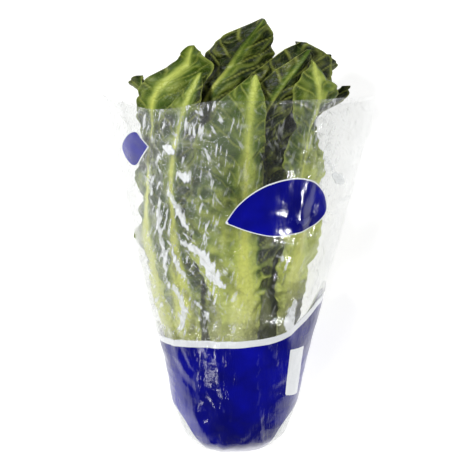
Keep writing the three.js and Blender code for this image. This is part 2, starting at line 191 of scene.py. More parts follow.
class Leaf:
    """A leaf laid over a pile. Its form follows the solid of the same name."""

    def __init__(self, pile, facts):
        self.__dict__.update(facts)
        self.bed = draped(pile)
        self.span = self.tip - self.root
        self.add_to(pile)

    def outline(self, v):
        """Share of its half width, pinched at the waist."""
        plain = along(ROUND_TIP, v) * (1 - self.point) + along(POINTED_TIP, v) * self.point
        return plain * (1 - self.waist * smooth(0.05, 0.2, v) * (1 - smooth(0.36, 0.6, v)))

    def centre_angle(self, v):
        """Where its midrib lies about the stem, leaning towards the tip."""
        return (self.azimuth + self.lean * np.clip((v - 0.5) / 0.5, 0, 1) ** 2) * DEG

    def reach_at(self, y):
        """Least radius of its spreading tip."""
        return self.reach * smooth(SPREADS_FROM, self.tip, y)

    def radius_at(self, v):
        """Radius of its bend."""
        y = self.root + v * self.span
        near = [sample(self.bed, self.centre_angle(v) + a * DEG, y) for a in (-40, -20, 0, 20, 40)]
        mean = sum(near) / len(near) + looseness(y)
        least = np.where(y < SPREADS_FROM, LEAST_RADIUS, TIP_RADIUS)
        return np.maximum(np.maximum(least, self.reach_at(y)), mean)

    def half_angle(self, v):
        return np.minimum(WIDEST_ANGLE, self.outline(v) * self.half_width / self.radius_at(v))

    def side(self, u, v):
        """Scale of the half that u is in. The right one is tucked in above the waist."""
        return np.where(u > 0, self.left, self.right * (1 - self.tuck * smooth(0.56, 0.72, v)))

    def stand_off(self, u, v, y):
        """How far it stands off its bed: waved margins, an open rim and a raised middle."""
        edge = np.abs(u) ** 1.6
        cycle = (y / self.wave_length) * 2 * math.pi + self.phase + np.where(u > 0, 1.9, 0)
        ripple = 0.5 + 0.5 * np.sin(cycle)
        return (
            looseness(y)
            + self.wave * edge * smooth(0.25, 0.6, v) * ripple
            + self.open * edge * smooth(0.45, 0.9, v)
            + self.ridge * (1 - np.abs(u)) * smooth(0.5, 0.85, v)
        )

    def rib_half(self, v):
        return 15 - 11 * smooth(0, 0.75, v)

    def rib_height(self, v):
        swell = 0.4 + 0.6 * smooth(0, 0.08, v)
        taper = (1 - 0.86 * smooth(0, 0.7, v)) * (1 - smooth(0.55, 1, v))
        return RIB_AT_ROOT * self.rib * swell * taper

    def thickness(self, u, v):
        half = np.maximum(0.12, self.rib_half(v) / (self.outline(v) * self.half_width * self.side(u, v)))
        return LAID_BLADE + self.rib_height(v) * np.exp(-((u / half) ** 2))

    def inner(self, u, v):
        """Radius of its inner face."""
        y = self.root + v * self.span
        under = sample(self.bed, self.centre_angle(v) + u * self.half_angle(v) * self.side(u, v), y)
        return np.maximum(under, self.reach_at(y)) + self.stand_off(u, v, y)

    def add_to(self, pile):
        """Raises the pile to this leaf's outer face, where the leaf covers it."""
        y = np.arange(ROWS_Y)[:, None] * STEP_Y + np.zeros((1, ANGLES))
        v = (y - self.root) / self.span
        vv = np.clip(v, 0, 1)
        angle = np.arange(ANGLES)[None, :] / ANGLES * 2 * math.pi
        u = turn(angle - self.centre_angle(vv)) / self.half_angle(vv)
        u = u / self.side(u, vv)
        uu = np.clip(u, -1, 1)
        near = (np.abs(u) <= 1.08) & (v * self.span >= -STEP_Y) & ((v - 1) * self.span <= STEP_Y)
        top = self.inner(uu, vv) + self.thickness(uu, vv)
        pile[near] = np.maximum(pile, top)[near]


PLAIN_LEAF = dict(
    reach=0, open=1, ridge=0, left=1, right=1, waist=0, tuck=0, pale_rib=1, pale_base=1, ragged=1,
    tone_step=(-1.5, 1.5),
)


def inner_leaf(k):
    own = dict(
        name=f"leaf_inner_{k + 1}", azimuth=40 + k * GOLDEN_ANGLE, root=46 - 2.5 * k,
        tip=228 + 8 * k + 6 * math.sin(k * 2.3), half_width=34 + 2 * k, point=0.4, rib=0.5 + 0.04 * k,
        lean=6 * math.sin(k * 1.7), reach=15 + 1.5 * k, wave=1.8, wave_length=52, phase=k * 1.3,
        tones=(0.03 * k, 0.03 * k),
    )
    return {**PLAIN_LEAF, **own}


def heart_leaf(k):
    own = dict(
        name=f"heart_leaf_{k + 1}", azimuth=k * GOLDEN_ANGLE, root=CORE_LENGTH + 3,
        tip=HEART_TIP - 26 + 6.5 * k, half_width=22 + 2 * k, point=0.4, rib=0.3, lean=0, open=0,
        wave=1.2, wave_length=40, phase=k, tones=(0.0, 0.0),
    )
    return {**PLAIN_LEAF, **own}


def outer_leaf(k, facts):
    usual = dict(rib=0.9 + 0.02 * k, wave=2.8, wave_length=46 + 3 * (k % 4), phase=k * 1.9, pale_base=0.8)
    return {**PLAIN_LEAF, **usual, **facts}


# azimuth is where a leaf grows about the stem, in degrees, 90 on top, and lean turns its tip from there
# root and tip are places along the head, point is 0 for a round tip and 1 for a pointed one
# open lifts the rim, ridge the middle, wave the margins, and reach spreads the tip
# left and right scale a leaf's halves, seen from its outer face with the tip up
# tones are how deep a green its left and right half have, partly the leaf's own green and partly painted
# shade: 0 is pale, and above 1 the green nears black, which is painted shade in the gaps and hollows the
# tone step is where the right one turns into the left one, in millimetres to the left of the midrib
OUTER_LEAVES = [
    dict(name="leaf_tall", azimuth=136, root=20, tip=325, half_width=35, lean=-54, point=0.3, ridge=7,
         reach=30, tones=(2.4, 0.4)),
    dict(name="leaf_back_right", azimuth=-62, root=17, tip=290, half_width=44, lean=18, point=0.4, reach=44,
         tones=(0.8, 0.8)),
    dict(name="leaf_side_right", azimuth=8, root=15, tip=300, half_width=36, lean=24, point=0, reach=60,
         pale_rib=0.5, pale_base=1.3, tones=(0.6, 0.4)),
    dict(name="leaf_side_left", azimuth=184, root=14, tip=284, half_width=36, lean=-26, point=0, reach=66,
         pale_base=0.3, tones=(0.35, 0.4)),
    dict(name="leaf_back", azimuth=-96, root=12, tip=274, half_width=46, lean=8, point=0.3, reach=36,
         tones=(0.7, 0.7)),
    dict(name="leaf_cupped_right", azimuth=88, root=13, tip=309, half_width=34, lean=-40, point=0, open=5,
         reach=40, pale_rib=0.2, tones=(1.9, 2.2)),
    dict(name="leaf_corner_right", azimuth=-36, root=11, tip=270, half_width=40, lean=18, point=0.5,
         reach=77, pale_rib=0.4, tones=(1.6, 1.6)),
    dict(name="leaf_back_left", azimuth=-146, root=10, tip=262, half_width=46, lean=-8, point=0.3, reach=50,
         tones=(0.7, 0.7)),
    dict(name="leaf_front_left", azimuth=157, root=8, tip=307, half_width=34, lean=-27, point=0, reach=50,
         left=0.4, right=1.2, rib=0.7, pale_base=0.35, tones=(0.15, 0.05)),
    dict(name="leaf_folded_right", azimuth=88, root=9, tip=306, half_width=19, lean=-32, point=0, ridge=6,
         reach=48, tones=(0.7, 2.4)),
    dict(name="leaf_front_right", azimuth=24, root=7, tip=300, half_width=30, lean=34, point=0.5, ridge=3,
         reach=54, pale_rib=0.7, pale_base=1.8, tones=(0.1, 0.0), ragged=2),
    dict(name="leaf_small_front", azimuth=122, root=6, tip=290, half_width=21, lean=-8, point=0.6, ridge=2,
         reach=48, pale_base=0.5, tones=(0.1, 0.3)),
    dict(name="leaf_front", azimuth=80, root=5, tip=290, half_width=36, lean=2, point=0.2, ridge=2, reach=46,
         left=1.1, right=0.9, waist=0.35, tuck=0.6, pale_rib=0.8, pale_base=1.3, tones=(0.0, 2.4),
         tone_step=(-15, -9)),
]
UNDERNEATH = ("leaf_back", "leaf_back_left", "leaf_back_right")
INNER_COUNT = 9
HEART_COUNT = 5

# Points along and across each face of a leaf
OUTER_GRID = (190, 71)
UNDERNEATH_GRID = (110, 41)
INNER_GRID = (100, 35)
HEART_GRID = (70, 25)

# First noise seed of each group
OUTER_SEED = 600
INNER_SEED = 400
HEART_SEED = 300
SEED_STEP = 10  # from one outer or inner leaf to the next


def core_radius(y):
    return CORE_RADIUS * (1 - 0.5 * smooth(14, CORE_LENGTH, y))


def bud_radius(y):
    s = np.clip((y - CORE_LENGTH) / (BUD_TIP - CORE_LENGTH), 0, 1)
    return core_radius(CORE_LENGTH) * (1 - s) + 11 * np.maximum(0, np.sin(math.pi * s**0.8)) ** 0.8


# Meshes

def shell_faces(rows, columns):
    """Faces of a thin closed solid: outer grid, inner grid and the rim between them."""
    j, i = np.meshgrid(np.arange(rows - 1), np.arange(columns - 1), indexing="ij")
    a = (j * columns + i).ravel()
    outer = np.stack([a, a + columns, a + columns + 1, a + 1], axis=1)
    inner = outer[:, ::-1] + rows * columns
    top = np.arange(columns - 1)
    right = np.arange(rows - 1) * columns + columns - 1
    bottom = (rows - 1) * columns + np.arange(columns - 1, 0, -1)
    left = np.arange(rows - 1, 0, -1) * columns
    border = np.concatenate([top, right, bottom, left])
    following = np.roll(border, -1)
    rim = np.stack([border, following, following + rows * columns, border + rows * columns], axis=1)
    return np.concatenate([outer, inner, rim])


def ring_faces(rows, columns):
    """Faces between rings of points, each ring closed on itself."""
    j, i = np.meshgrid(np.arange(rows - 1), np.arange(columns), indexing="ij")
    a = (j * columns + i).ravel()
    b = (j * columns + (i + 1) % columns).ravel()
    return np.stack([a, a + columns, b + columns, b], axis=1).tolist()


def new_piece(name, points, faces, looks, flat=None, smooth_ends=True):
    """A smooth shaded object from points in millimetres. looks are its materials' values at each point."""
    mesh = bpy.data.meshes.new(name)
    mesh.from_pydata((points * MM).tolist(), [], faces)
    mesh.polygons.foreach_set("use_smooth", [smooth_ends or len(face) == 4 for face in faces])
    for key, values in looks.items():
        layer = mesh.attributes.new(key, "FLOAT", "POINT")
        layer.data.foreach_set("value", np.asarray(values, np.float32).ravel())
    if flat is not None:
        corners = np.empty(len(mesh.loops), np.int32)
        mesh.loops.foreach_get("vertex_index", corners)
        layer = mesh.uv_layers.new(name="flat")
        layer.data.foreach_set("uv", (flat * FLAT_SCALE)[corners].astype(np.float32).ravel())
    mesh.update()
    piece = bpy.data.objects.new(name, mesh)
    bpy.context.scene.collection.objects.link(piece)
    return piece


# Leaves

VEIN_SPACING = 12  # along the midrib, between lateral veins
VEIN_SLANT = 1.05  # how steeply they run towards the tip
LEAF_LIFT = 0.3  # off the pile
ROWS_TO_TIP = 1.4  # above 1, rows of points crowd towards the tip


def vein_field(across, y, seed):
    """How near each point is to a lateral vein, 0 to 1, and where it lies between two of them."""
    side = np.where(across > 0, 0.45, 0.0)
    reach = np.abs(across)
    wander = 2.6 * noise(across / 16 + 5, y / 16, seed) + 1.2 * noise(across / 6, y / 6, seed + 1)
    run = (y - VEIN_SLANT * reach + 0.006 * reach**2 + wander) / VEIN_SPACING + side
    between = run - np.floor(run)
    distance = np.minimum(between, 1 - between) * VEIN_SPACING
    width = 0.4 + 0.75 * np.exp(-reach / 14)
    fading = np.exp(-((reach / 42) ** 2))
    return fading * np.exp(-((distance / width) ** 2)), np.sin(math.pi * between)


def round_cap(v):
    """Narrows the last stretch of a leaf to a rounded end."""
    return np.sqrt(np.maximum(0.0009, 1 - np.clip((v - 0.93) / 0.07, 0, 1) ** 2))


def leaf_relief(across, y, v, u, away, between, vein, seed):
    """The blade's pucker between its veins, which only paints shade into its hollows and highlights onto its
    crests, and its whole relief with the ruffled margins.
    """
    edge = np.abs(u)
    side = np.sign(u)
    crumple = 1 - 0.3 * smooth(0.6, 0.9, v)
    blister = 1 - np.abs(noise(across / 9, y / 8, seed + 4)) * 2
    grain = 0.6 * noise(across / 3.5, y / 3.5, seed + 5)
    pucker = 0.8 * between - 0.3 + crumple * (1.4 * blister + grain)
    long_ruffle = 1.5 * noise(y / 11, side * 2 + 20, seed + 6) * edge**3
    short_ruffle = 0.8 * noise(y / 5, side * 2 + 30, seed + 7) * edge**6
    ruffle = (long_ruffle + short_ruffle) * smooth(0.25, 0.55, v)
    blade_part = away * smooth(0.1, 0.35, v)
    return blade_part * pucker, blade_part * (1.1 * pucker - 0.5 * vein) + ruffle


def ragged_edge(y, u, seed):
    """Scales a leaf's width along its margin, about 1."""
    side = np.sign(u) * 3
    return 1 + 0.08 * noise(y / 9, side + 7, seed + 2) + 0.025 * noise(y / 4, side + 9, seed + 3)


def leaf_surface(leaf, rows, columns, seed, lively):
    """Points and looks of a leaf's outer and inner face. lively scales its puckers and ruffles."""
    t = np.linspace(0, 1, rows)[:, None]
    v = 1 - (1 - t) ** ROWS_TO_TIP + np.zeros((1, columns))
    s = np.linspace(-1, 1, columns)[None, :]
    u = 0.85 * s + 0.15 * s**3 + 0 * v
    y = leaf.root + v * leaf.span
    height = blurred(leaf.inner(u, v), 6)
    half = leaf.half_angle(v)
    across = u * half * leaf.side(u, v) * leaf.radius_at(v)
    edge = np.abs(u)

    margin = ragged_edge(y, u, seed) - 1
    spread = u * (1 + leaf.ragged * margin * edge**3 * smooth(0.2, 0.4, v))
    angle = leaf.centre_angle(v) + spread * half * leaf.side(u, v) * round_cap(v)

    rib_half = leaf.rib_half(v) * (0.78 - 0.42 * smooth(0.45, 0.75, v))
    pale_half = np.maximum(1.6, rib_half * (1.9 - 0.9 * smooth(0.2, 0.6, v)))
    rib = np.exp(-((across / pale_half) ** 2))
    rib = rib * (1 - 0.9 * smooth(0.7, 1, v)) * (1 - (1 - leaf.pale_rib) * smooth(0.4, 0.7, v))
    away = 1 - np.exp(-((across / (rib_half + 2)) ** 2))
    vein, between = vein_field(across, y, seed)
    # the first value is the pucker, used only for painted shade in hollows and painted highlights on crests
    pucker_shade, relief = leaf_relief(across, y, v, u, away, between, vein, seed)
    height = height + lively * relief + LEAF_LIFT

    blade = BLADE * (0.55 + 0.45 * (1 - edge**4))
    rib_reach = np.maximum(1.5, leaf.rib_half(v) * 0.8)
    rib_round = leaf.rib_height(v) * np.exp(-np.abs(across / rib_reach) ** 2.4)
    raised = 0.35 * lively * vein * away * (1 - 0.6 * edge)
    outer = place(height + blade + rib_round + raised, angle, y)
    inner = place(height, angle, y)
    points = np.concatenate([outer.reshape(-1, 3), inner.reshape(-1, 3)])

    deep_from = 0.25 * leaf.pale_base
    depth = smooth(deep_from - 0.1, deep_from + 0.5, v) * (0.35 + 0.65 * away) * (0.75 + 0.25 * edge)
    left_tone_and_shade, right_tone_and_shade = leaf.tones
    both_faces = lambda field: np.tile(field.ravel(), 2)
    looks = {
        "rib": both_faces(rib),
        "margin": both_faces(smooth(0.9, 1.0, edge) * smooth(0.4, 0.6, v)),
        "vein": both_faces(vein * away * smooth(0.12, 0.3, v)),
        "pucker_shade": both_faces(pucker_shade),
        "depth": both_faces(depth),
        # the tone deepens the green, partly the leaf's own deeper green and partly painted shade
        "tone_and_shade": both_faces(right_tone_and_shade + (left_tone_and_shade - right_tone_and_shade) * smooth(*leaf.tone_step, across)),
        "inside": np.repeat([0.0, 1.0], rows * columns),
        "base": both_faces((1 - smooth(0.1, 0.52, v)) * leaf.pale_base),
    }
    flat = np.stack([both_faces(across), both_faces(y)], axis=1)
    return points, looks, flat


def leaf_piece(leaf, grid, seed, lively):
    points, looks, flat = leaf_surface(leaf, *grid, seed, lively)
    return new_piece(leaf.name + "_fine", points, shell_faces(*grid).tolist(), looks, flat)


# Node helpers

class Nodes:
    """A material's node tree, built from short calls."""

    def __init__(self, name):
        self.material = bpy.data.materials.new(name)
        self.material.use_nodes = True
        self.tree = self.material.node_tree
        self.tree.nodes.clear()
        self.end = self.tree.nodes.new("ShaderNodeOutputMaterial")

    def add(self, kind, inputs=(), **settings):
        node = self.tree.nodes.new(kind)
        for key, value in settings.items():
            setattr(node, key, value)
        for key, value in dict(inputs).items():
            if isinstance(value, bpy.types.NodeSocket):
                self.tree.links.new(value, node.inputs[key])
            else:
                node.inputs[key].default_value = value
        return node

    def math(self, operation, *values, clamp=False):
        node = self.add("ShaderNodeMath", dict(enumerate(values)), operation=operation, use_clamp=clamp)
        return node.outputs[0]

    def plus(self, first, second, clamp=False):
        return self.math("ADD", first, second, clamp=clamp)

    def minus(self, first, second):
        return self.math("SUBTRACT", first, second)

    def times(self, first, second, clamp=False):
        return self.math("MULTIPLY", first, second, clamp=clamp)

    def larger(self, first, second):
        return self.math("MAXIMUM", first, second)

    def mix(self, factor, first, second):
        node = self.add("ShaderNodeMix", data_type="RGBA")
        for socket, value in ((node.inputs[0], factor), (node.inputs[6], first), (node.inputs[7], second)):
            if isinstance(value, bpy.types.NodeSocket):
                self.tree.links.new(value, socket)
            else:
                socket.default_value = value
        return node.outputs[2]

    def ramp(self, value, start, end, low=0.0, high=1.0):
        """The value taken smoothly from start and end to low and high."""
        inputs = {0: value, 1: start, 2: end, 3: low, 4: high}
        return self.add("ShaderNodeMapRange", inputs, interpolation_type="SMOOTHSTEP").outputs[0]

    def attribute(self, name):
        return self.add("ShaderNodeAttribute", attribute_name=name).outputs["Fac"]

    def noise(self, vector, scale, detail=3.0, roughness=0.55):
        inputs = {"Vector": vector, "Scale": scale, "Detail": detail, "Roughness": roughness}
        return self.add("ShaderNodeTexNoise", inputs).outputs["Fac"]

    def drawn_out(self, vector, across, along_it, heading=0.0):
        """The vector turned by a heading in degrees, then scaled across and along it."""
        turning = {"Vector": vector, "Rotation": (0, 0, heading * DEG)}
        turned = self.add("ShaderNodeMapping", turning).outputs[0]
        return self.add("ShaderNodeMapping", {"Vector": turned, "Scale": (across, along_it, 1.0)}).outputs[0]

    def bump(self, height, strength, distance):
        inputs = {"Height": height, "Strength": strength, "Distance": distance}
        return self.add("ShaderNodeBump", inputs).outputs[0]

    def blend(self, share, first, second):
        """One shader over another."""
        return self.add("ShaderNodeMixShader", {0: share, 1: first, 2: second}).outputs[0]

    def shader_to_end(self, shader):
        self.tree.links.new(shader, self.end.inputs["Surface"])


def linear(red, green, blue):
    """An 8-bit screen colour as scene linear RGBA."""
    channel = lambda c: c / 12.92 if c <= 0.04045 else ((c + 0.055) / 1.055) ** 2.4
    return (*(channel(c / 255) for c in (red, green, blue)), 1.0)


PALE_BASE = linear(244, 246, 214)  # towards the root, ribs and blade near this
NET_SCALE = 30.0  # net veins, in cells per 100 mm


def net_veins(n, flat):
    """1 on the fine net between the veins, 0 in its cells."""
    swirl = n.add("ShaderNodeTexNoise", {"Vector": flat, "Scale": 9.0, "Detail": 2.0}).outputs["Color"]
    sway = n.add("ShaderNodeVectorMath", {0: swirl, "Scale": 0.06}, operation="SCALE").outputs[0]
    warped = n.add("ShaderNodeVectorMath", {0: flat, 1: sway}, operation="ADD").outputs[0]
    inputs = {"Vector": warped, "Scale": NET_SCALE}
    cells = n.add("ShaderNodeTexVoronoi", inputs, feature="DISTANCE_TO_EDGE").outputs["Distance"]
    return n.ramp(cells, 0.0, 0.08, 1.0, 0.0)


def leaf_material(name, pale, mid, deep, rib_colour, gloss):
    """Waxy lettuce leaf: pale rib and veins, net veins, deeper green outwards, darker on its inner face,
    with painted shade in its hollows and on its shaded halves and painted highlights on its crests.
    """
    n = Nodes(name)
    flat = n.add("ShaderNodeUVMap", uv_map="flat").outputs[0]
    rib, vein, depth = n.attribute("rib"), n.attribute("vein"), n.attribute("depth")
    tone_and_shade, inside, base = n.attribute("tone_and_shade"), n.attribute("inside"), n.attribute("base")
    pucker_shade = n.attribute("pucker_shade")
    cloud = n.noise(flat, 2.5, 4)
    fine = n.noise(flat, 26, 3)
    net = net_veins(n, flat)

    shade = n.plus(depth, n.times(n.minus(cloud, 0.5), 0.7))
    # the pucker lightens the crests and deepens the hollows: painted highlight and painted shade
    shade = n.math("MULTIPLY_ADD", pucker_shade, -0.16, shade)
    # a high tone deepens the green to near black: painted shade
    shade = n.times(shade, n.plus(0.66, n.times(tone_and_shade, 0.9)), clamp=True)
    green = n.mix(n.ramp(shade, 0.05, 0.55), pale, mid)
    green = n.mix(n.ramp(shade, 0.35, 0.95), green, deep)
    green = n.mix(n.times(inside, 0.5), green, deep)
    margin = n.times(n.attribute("margin"), n.ramp(cloud, 0.4, 0.6, 0.0, 0.4))
    green = n.mix(margin, green, pale)
    green = n.mix(n.ramp(fine, 0.35, 0.75, 0.0, 0.22), green, mid)
    light = n.mix(0.55, mid, rib_colour)
    green = n.mix(n.times(net, 0.1), green, light)
    # painted highlight on the pucker's crests, then painted shade in its hollows
    green = n.mix(n.ramp(pucker_shade, 0.5, 1.6, 0.0, 0.3), green, light)
    green = n.mix(n.ramp(pucker_shade, -1.4, -0.2, 0.45, 0.0), green, deep)
    green = n.mix(n.times(vein, 0.55), green, light)

    streak = n.noise(n.drawn_out(flat, 60.0, 3.0), 1.0, 2)
    stalk = n.mix(n.ramp(streak, 0.3, 0.75, 0.0, 0.3), rib_colour, light)
    stalk = n.mix(n.times(base, 0.6), stalk, PALE_BASE)
    colour = n.mix(n.ramp(rib, 0.15, 0.8), green, stalk)
    colour = n.mix(n.times(base, 0.5), colour, stalk)

    rough = n.plus(gloss, n.times(n.noise(flat, 9, 2), 0.22))
    bump = n.bump(n.plus(n.times(net, -0.5), n.times(fine, 0.9)), 0.6, 0.001)
    skin = n.add(
        "ShaderNodeBsdfPrincipled",
        {"Base Color": colour, "Roughness": rough, "Normal": bump, "Specular IOR Level": 0.35},
    )
    shining_through = {"Color": n.mix(0.2, green, light), "Normal": bump}
    glow = n.add("ShaderNodeBsdfTranslucent", shining_through)
    n.shader_to_end(n.blend(0.12, skin.outputs[0], glow.outputs[0]))
    return n.material


def stem_material():
    """Cut stem: moist and pale, browned and ringed on the cut."""
    n = Nodes("stem")
    where = n.add("ShaderNodeTexCoord").outputs["Object"]
    flecks = n.noise(where, 180.0, 4)
    rings = n.add(
        "ShaderNodeTexWave", {"Vector": where, "Scale": 60.0, "Distortion": 5.0, "Detail": 3.0},
        wave_type="RINGS", rings_direction="Y",
    ).outputs["Fac"]
    colour = n.mix(n.ramp(flecks, 0.35, 0.7), linear(236, 232, 200), linear(214, 206, 160))
    brown = n.mix(rings, linear(206, 176, 122), linear(176, 132, 84))
    browned = n.times(n.attribute("cut"), n.ramp(flecks, 0.3, 0.6, 0.35, 0.85))
    skin = n.add("ShaderNodeBsdfPrincipled", {
        "Base Color": n.mix(browned, colour, brown),
        "Roughness": n.ramp(flecks, 0.2, 0.8, 0.35, 0.6),
        "Normal": n.bump(flecks, 0.4, 0.0008),
    })
    n.shader_to_end(skin.outputs[0])
    return n.material


INK_BLUE = linear(2, 3, 104)
INK_BLUE_LIGHT = linear(6, 10, 168)
INK_BLUE_GLARE = linear(120, 124, 200)  # painted glare on the print along a sharp fold
INK_WHITE = linear(240, 243, 246)
# colour of the film's milky haze and of the glare painted on it
HAZE_AND_GLARE_WHITE = linear(240, 243, 244)
PRINT_LINE = 0.7  # width of the thin white line round a printed area
HEM_LINE = 1.4  # the same under the blue base
STRIP_HEIGHT = 5.5  # the white strip over it
PRINT_EDGE = 0.1  # half width of the blur at an edge of the print
INK_COVER = 0.97


def printed_areas(n):
    """Where the film is printed blue, where white, and where it is inside the label or the badge."""
    edge = lambda distance: n.ramp(distance, -PRINT_EDGE, PRINT_EDGE)
    low, high, patch, panel = (n.attribute(name) for name in ("low", "high", "patch", "panel"))
    above, below = n.minus(0.0, high), n.minus(0.0, low)
    band = n.times(edge(low), edge(high))
    inside_patch = edge(n.minus(patch, PRINT_LINE))
    blue = n.times(n.larger(band, inside_patch), n.minus(1.0, edge(panel)))
    strip = n.times(edge(above), edge(n.minus(STRIP_HEIGHT, above)))
    hem = n.times(edge(below), edge(n.minus(HEM_LINE, below)))
    outlines = n.larger(n.minus(edge(patch), inside_patch), edge(panel))
    return blue, n.larger(n.larger(strip, hem), outlines), inside_patch, edge(below)


def film_material():
    """Clear creased film, with plain printed areas whose outlines are distances held by the mesh, and
    painted glare, glints and sheen in its whitish haze.
    """
    n = Nodes("film")
    flat = n.add("ShaderNodeUVMap", uv_map="flat").outputs[0]
    crease_glare, crumple = n.attribute("crease_glare"), n.attribute("crumple")
    blue, white, inside_patch, under_band = printed_areas(n)

    cloud = n.noise(flat, 1.6, 4)
    patches = n.noise(flat, 7.0, 3)
    fine = n.noise(flat, 14.0, 3)
    streaks = n.noise(n.drawn_out(flat, 9.0, 1.6), 1.0, 5, 0.6)
    threads = n.noise(n.drawn_out(flat, 42.0, 8.0, 14), 1.0, 4, 0.6)
    shreds = n.noise(n.drawn_out(flat, 30.0, 9.0, -38), 1.0, 4, 0.6)
    # thin whitish wisps over the crumpled part: painted glints
    painted_glints = n.larger(
        n.times(n.ramp(threads, 0.53, 0.62), n.ramp(patches, 0.43, 0.58)),
        n.times(n.ramp(shreds, 0.56, 0.65), n.ramp(patches, 0.56, 0.38)),
    )
    # white along the listed folds, frayed at its edges: painted glare, given as whitened film
    ragged = n.plus(n.attribute("fold"), n.math("MULTIPLY_ADD", threads, 7.0, -3.6))
    ragged = n.plus(ragged, n.math("MULTIPLY_ADD", fine, 3.0, -1.5))
    painted_glare = n.times(n.ramp(ragged, -0.4, 0.6), n.attribute("glare_whiteness"))
    facing = n.add("ShaderNodeLayerWeight", {"Blend": 0.2}).outputs["Facing"]

    # the film's own milky haze, to which painted glare, glints and sheen are added below
    haze_and_glare = n.plus(n.ramp(cloud, 0.45, 0.75, 0.0, 0.03), n.ramp(streaks, 0.56, 0.8, 0.0, 0.07))
    # painted glare on the crease ridges, with the film's whitening there
    haze_and_glare = n.plus(haze_and_glare, n.times(crease_glare, n.ramp(patches, 0.4, 0.65, 0.0, 0.3)))
    # painted glints in the crumpled part
    haze_and_glare = n.plus(haze_and_glare, n.times(crumple, n.math("MULTIPLY_ADD", painted_glints, 0.68, 0.03)))
    haze_and_glare = n.plus(haze_and_glare, n.times(painted_glare, n.ramp(shreds, 0.35, 0.55, 0.6, 1.0)))
    haze_and_glare = n.plus(haze_and_glare, n.times(under_band, 0.3))
    # whiter towards grazing: painted sheen
    haze_and_glare = n.plus(haze_and_glare, n.times(facing, 0.1), clamp=True)
    solid = n.larger(haze_and_glare, n.times(n.larger(blue, white), INK_COVER))

    facets = n.add("ShaderNodeTexVoronoi", {"Vector": flat, "Scale": 9.0, "Randomness": 1.0}, feature="F1")
    relief = n.plus(n.times(streaks, 1.4), n.times(fine, 0.25))
    relief = n.plus(relief, n.times(facets.outputs["Distance"], 0.7))
    relief = n.plus(relief, n.times(n.plus(threads, shreds), crumple))
    relief = n.times(relief, n.math("MULTIPLY_ADD", inside_patch, -0.6, 1.0))
    bump = n.bump(relief, 0.6, 0.0016)

    ink = n.mix(n.ramp(cloud, 0.35, 0.7), INK_BLUE, INK_BLUE_LIGHT)
    # lighter blue along the folds: painted glare on the print
    ink = n.mix(n.times(painted_glare, 0.3), ink, INK_BLUE_GLARE)
    colour = n.mix(white, n.mix(blue, HAZE_AND_GLARE_WHITE, ink), INK_WHITE)
    rough = n.plus(0.09, n.times(fine, 0.12))
    covered = {"Base Color": colour, "Roughness": rough, "Normal": bump, "IOR": 1.5}
    skin = n.add("ShaderNodeBsdfPrincipled", covered)
    clear = n.add("ShaderNodeBsdfTransparent", {"Color": (0.975, 0.977, 0.975, 1)})
    gloss = n.add("ShaderNodeBsdfGlossy", {"Color": (1, 1, 1, 1), "Roughness": 0.08, "Normal": bump})
    slant = n.add("ShaderNodeLayerWeight", {"Blend": 0.5, "Normal": bump}).outputs["Facing"]
    shine = n.math("MULTIPLY_ADD", n.math("POWER", slant, 5.0), 0.9, 0.036)
    sheet = n.blend(shine, clear.outputs[0], gloss.outputs[0])
    n.shader_to_end(n.blend(solid, sheet, skin.outputs[0]))
    return n.material


# The sleeve

SLEEVE_CENTRE = [(SLEEVE_END, -3), (140, 0), (SLEEVE_MOUTH, 4)]
SLEEVE_HALF_WIDTH = [
    (SLEEVE_END, 24), (-23, 32), (-9, 38), (8, 43.5), (30, 49), (78, 58), (110, 66), (150, 75), (200, 87),
    (SLEEVE_MOUTH, 102),
]
SLEEVE_TOP = [
    (SLEEVE_END, 12), (-24, 33), (-11, 62), (8, 89), (60, 104), (120, 113), (200, 126), (SLEEVE_MOUTH, 126),
]
SEAM_HEIGHT = [(SLEEVE_END, 6), (30, 36), (120, 36), (SLEEVE_MOUTH, 26)]
MOUTH_RISE = 15  # the mouth's upper edge reaches this much further
MOUTH_DIP = 9  # and its left part this much less
SLEEVE_SIDES = 260
SLEEVE_RINGS = 180
RINGS_TO_BASE = 1.12  # above 1, rings crowd towards the closed end
BACK_BAND_DROP = 34  # the blue base is narrower behind, at its top
BACK_BAND_RISE = 16  # and at its bottom
MEAN_LIFT = 0.6  # the creases stand in and out about the solid's surface, this far inside it
BACK_CALM = 0.35  # how much of the creases is left behind, where the film is pressed flat
BACK_ACROSS = 40  # the creases behind are others, from this far across
BACK_FLAT_ACROSS = 300  # and so is the texture

